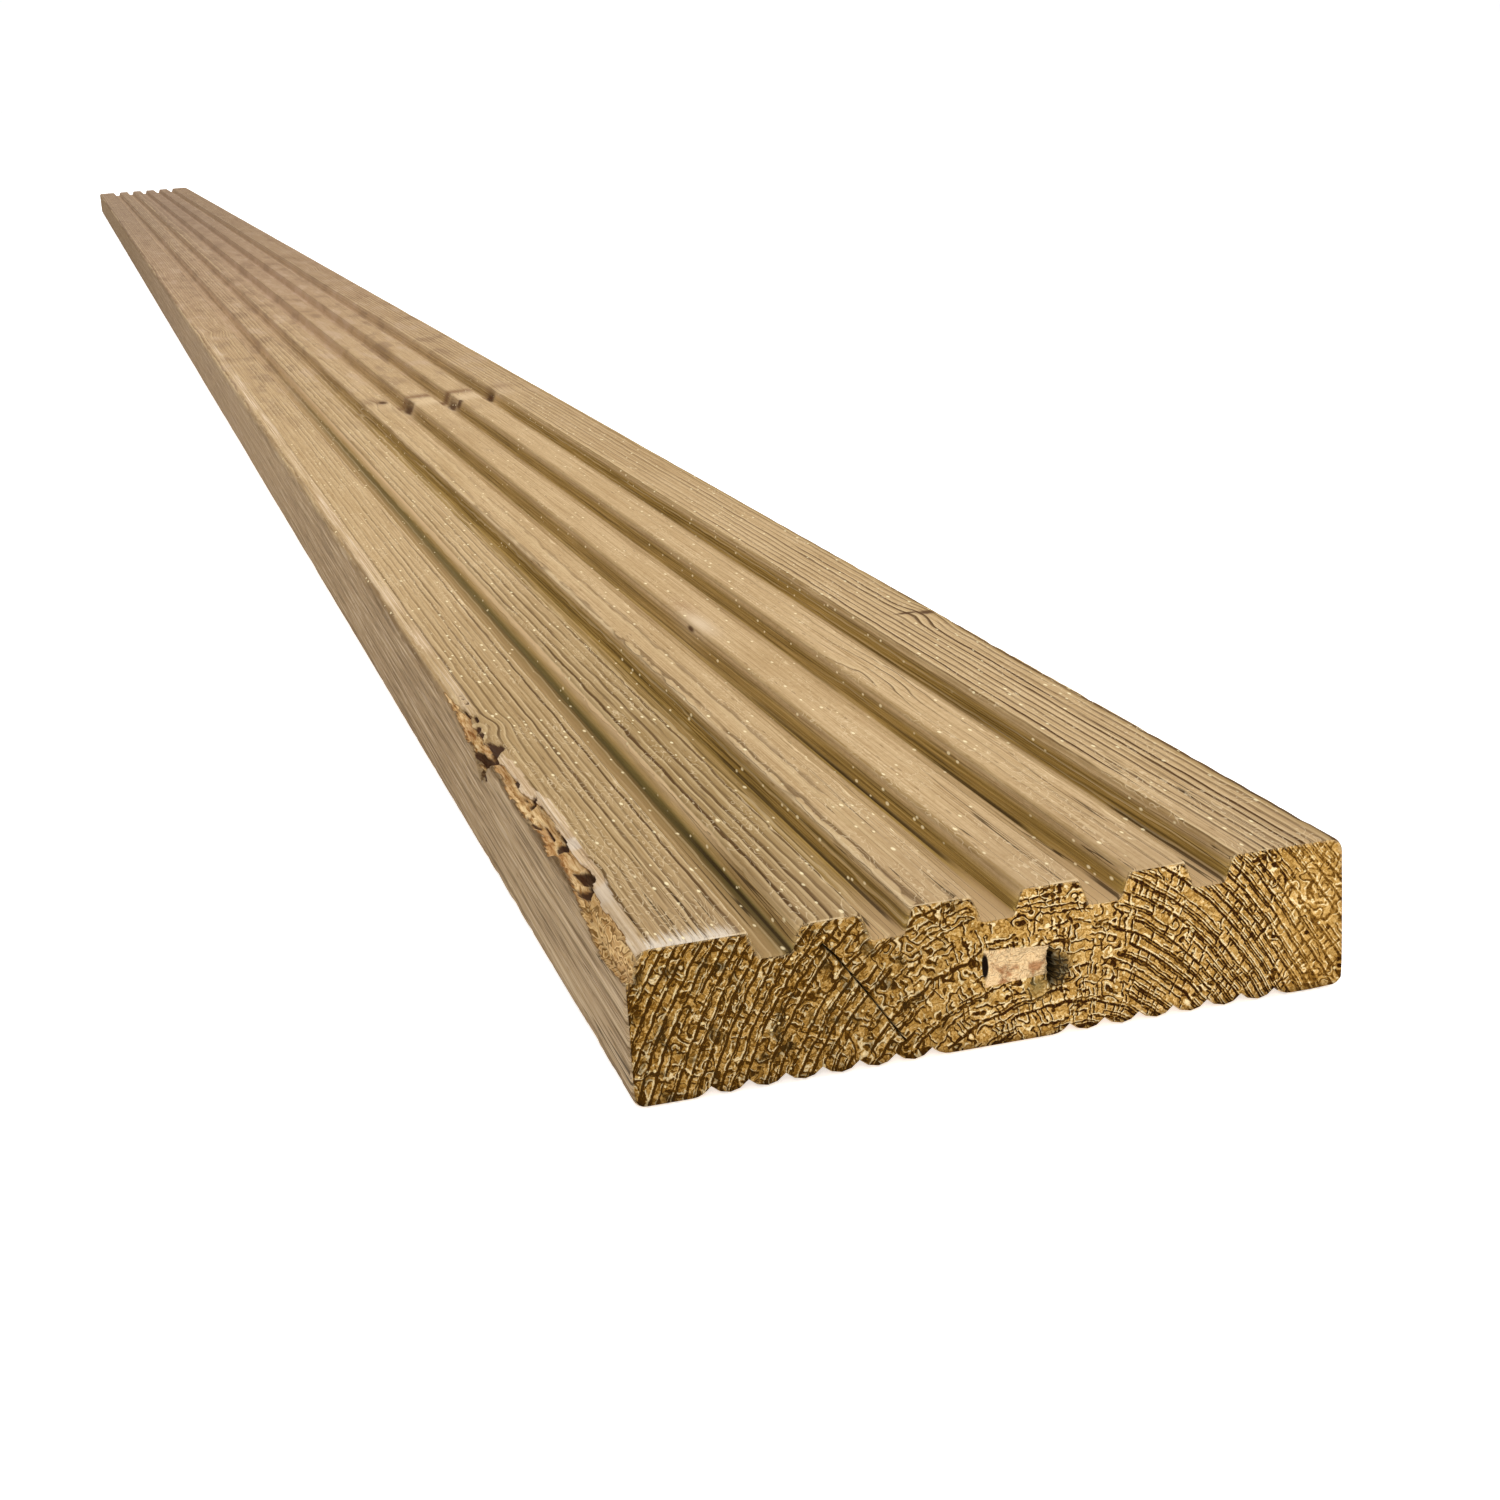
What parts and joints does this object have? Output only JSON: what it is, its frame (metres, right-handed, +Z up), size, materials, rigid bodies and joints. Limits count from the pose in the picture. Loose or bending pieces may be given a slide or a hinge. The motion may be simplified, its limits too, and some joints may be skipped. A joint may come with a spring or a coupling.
{
  "type": "decking board",
  "caption": "Straight softwood decking board with drainage grooves along its walking face, rounded long edges and reeded bands under it; screws down across joists.",
  "frame": {"origin": "centre of the board's underside, on the plane that it rests on", "axes": "+Y along the board, +Z up out of the grooved walking face, +X across it"},
  "size_m": [0.144, 3.9, 0.031],
  "materials": {
    "treated_softwood": "planed, dry and matt, with sawn ends and a faint green tint from pressure treatment"
  },
  "bodies": {
    "root": {"decking_board": "treated_softwood"}
  },
  "joints": []
}
